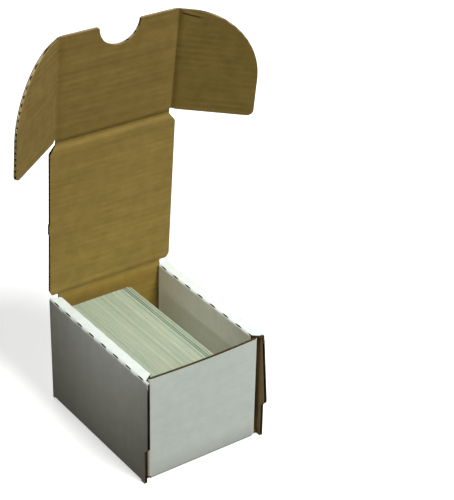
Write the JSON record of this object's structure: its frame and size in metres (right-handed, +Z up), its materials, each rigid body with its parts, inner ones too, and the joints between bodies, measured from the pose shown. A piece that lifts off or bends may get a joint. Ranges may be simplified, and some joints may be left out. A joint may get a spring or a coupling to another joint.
{
  "type": "card storage box",
  "caption": "Small folding fluted-board box with roll-over side walls and a hinged lid whose front flap and two rounded ears tuck into the front; holds standing cards.",
  "frame": {"origin": "on the surface the box stands on, under the middle of the floor, halfway between the outer faces of the front and back panels", "axes": "+Z up; the front panel faces -Y; +X to the right when facing the front panel; the lid stands open"},
  "size_m": [0.1537, 0.1036, 0.2372],
  "materials": {
    "white_liner": "white, slightly smooth liner",
    "kraft_liner": "unbleached brown liner, matte",
    "fluted_medium": "unbleached brown fluted paper, matte",
    "crease": "crushed board, matte",
    "card_stock": "cut edges of coated card stock"
  },
  "bodies": {
    "box": {"floor_white_liner": "white_liner", "floor_flutes": "fluted_medium", "floor_kraft_liner": "kraft_liner", "front_panel_white_liner": "white_liner", "front_panel_flutes": "fluted_medium", "front_panel_kraft_liner": "kraft_liner", "back_panel_white_liner": "white_liner", "back_panel_flutes": "fluted_medium", "back_panel_kraft_liner": "kraft_liner", "front_left_corner_flap_white_liner": "white_liner", "front_left_corner_flap_flutes": "fluted_medium", "front_left_corner_flap_kraft_liner": "kraft_liner", "front_right_corner_flap_white_liner": "white_liner", "front_right_corner_flap_flutes": "fluted_medium", "front_right_corner_flap_kraft_liner": "kraft_liner", "back_left_corner_flap_white_liner": "white_liner", "back_left_corner_flap_flutes": "fluted_medium", "back_left_corner_flap_kraft_liner": "kraft_liner", "back_right_corner_flap_white_liner": "white_liner", "back_right_corner_flap_flutes": "fluted_medium", "back_right_corner_flap_kraft_liner": "kraft_liner", "left_outer_side_white_liner": "white_liner", "left_outer_side_flutes": "fluted_medium", "left_outer_side_kraft_liner": "kraft_liner", "left_top_strip_white_liner": "white_liner", "left_top_strip_flutes": "fluted_medium", "left_top_strip_kraft_liner": "kraft_liner", "left_inner_side_white_liner": "white_liner", "left_inner_side_flutes": "fluted_medium", "left_inner_side_kraft_liner": "kraft_liner", "right_outer_side_white_liner": "white_liner", "right_outer_side_flutes": "fluted_medium", "right_outer_side_kraft_liner": "kraft_liner", "right_top_strip_white_liner": "white_liner", "right_top_strip_flutes": "fluted_medium", "right_top_strip_kraft_liner": "kraft_liner", "right_inner_side_white_liner": "white_liner", "right_inner_side_flutes": "fluted_medium", "right_inner_side_kraft_liner": "kraft_liner", "lid_crease": "crease"},
    "lid": {"lid_white_liner": "white_liner", "lid_flutes": "fluted_medium", "lid_kraft_liner": "kraft_liner", "flap_crease": "crease"},
    "flap": {"front_flap_white_liner": "white_liner", "front_flap_flutes": "fluted_medium", "front_flap_kraft_liner": "kraft_liner", "left_ear_crease": "crease", "right_ear_crease": "crease"},
    "left_ear": {"left_ear_white_liner": "white_liner", "left_ear_flutes": "fluted_medium", "left_ear_kraft_liner": "kraft_liner"},
    "right_ear": {"right_ear_white_liner": "white_liner", "right_ear_flutes": "fluted_medium", "right_ear_kraft_liner": "kraft_liner"},
    "cards": {"card_pack_1": "card_stock", "card_pack_2": "card_stock", "card_pack_3": "card_stock", "card_pack_4": "card_stock"}
  },
  "joints": [
    {"name": "lid_hinge", "type": "hinge", "parent": "box", "child": "lid", "pos_m": [0, 0.04845, 0.07065], "axis": [-1, 0, 0], "range_deg": [-86.15, 93.85]},
    {"name": "flap_hinge", "type": "hinge", "parent": "lid", "child": "flap", "pos_m": [0, 0.0417, 0.17102], "axis": [-1, 0, 0], "range_deg": [-86.5, 3.5]},
    {"name": "left_ear_hinge", "type": "hinge", "parent": "flap", "child": "left_ear", "pos_m": [-0.03785, 0.03747, 0.20375], "axis": [0, 0.1279, -0.9918], "range_deg": [-56.2, 33.8]},
    {"name": "right_ear_hinge", "type": "hinge", "parent": "flap", "child": "right_ear", "pos_m": [0.03785, 0.03747, 0.20375], "axis": [0, -0.1279, 0.9918], "range_deg": [-53.8, 36.2]},
    {"name": "cards_lift", "type": "slide", "parent": "box", "child": "cards", "axis": [0, 0, 1], "range_m": [0, 0.075]}
  ]
}
